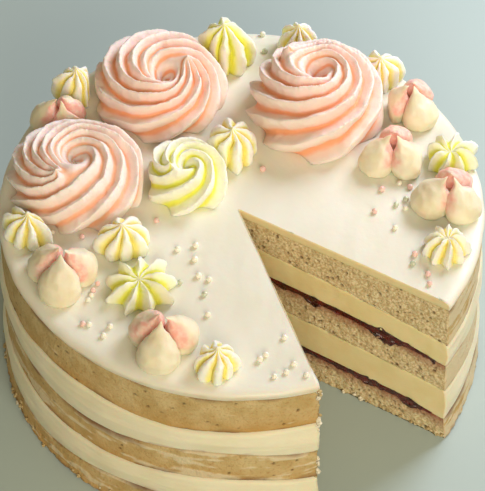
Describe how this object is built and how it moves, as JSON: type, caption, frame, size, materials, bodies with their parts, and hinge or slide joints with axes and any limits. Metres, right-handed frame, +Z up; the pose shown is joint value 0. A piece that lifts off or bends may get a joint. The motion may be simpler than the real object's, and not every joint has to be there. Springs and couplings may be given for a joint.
{
  "type": "layer cake",
  "caption": "Round iced sponge layer cake with cream and jam fillings and piped buttercream on top, one slice taken out.",
  "frame": {"origin": "centre of the cake's round base, on the surface it stands on", "axes": "+Z up, -Y to the front; the missing slice is centred between +X and -Y"},
  "size_m": [0.2039, 0.2039, 0.1146],
  "materials": {
    "sponge": "open-crumbed sponge with a golden crust, dry and matt",
    "cream": "pale yellow buttercream filling, soft satin",
    "jam": "dark red jam, wet gloss",
    "icing": "smooth ivory buttercream icing, soft satin",
    "pink_buttercream": "pale peach-pink buttercream, soft satin",
    "green_buttercream": "pale lime-green buttercream, soft satin",
    "yellow_buttercream": "pale yellow buttercream, soft satin",
    "tulip_buttercream": "cream buttercream petals with pink between them, soft satin",
    "sugar_pearls": "sugar pearls in pink, white and silver-green, soft gloss"
  },
  "bodies": {
    "root": {"sponge_bottom": "sponge", "jam_lower": "jam", "cream_lower": "cream", "sponge_middle": "sponge", "jam_upper": "jam", "cream_upper": "cream", "sponge_top": "sponge", "icing": "icing", "rose_back_left": "pink_buttercream", "rose_back_right": "pink_buttercream", "rose_left": "pink_buttercream", "swirl_green": "green_buttercream", "kiss_green": "green_buttercream", "blossom_green_front": "green_buttercream", "blossom_green_right": "green_buttercream", "kiss_yellow_1": "yellow_buttercream", "kiss_yellow_2": "yellow_buttercream", "kiss_yellow_3": "yellow_buttercream", "kiss_yellow_4": "yellow_buttercream", "kiss_yellow_5": "yellow_buttercream", "kiss_yellow_6": "yellow_buttercream", "kiss_yellow_7": "yellow_buttercream", "blossom_yellow": "yellow_buttercream", "tulip_1": "tulip_buttercream", "tulip_2": "tulip_buttercream", "tulip_3": "tulip_buttercream", "tulip_4": "tulip_buttercream", "tulip_5": "tulip_buttercream", "tulip_6": "tulip_buttercream"}
  },
  "joints": []
}
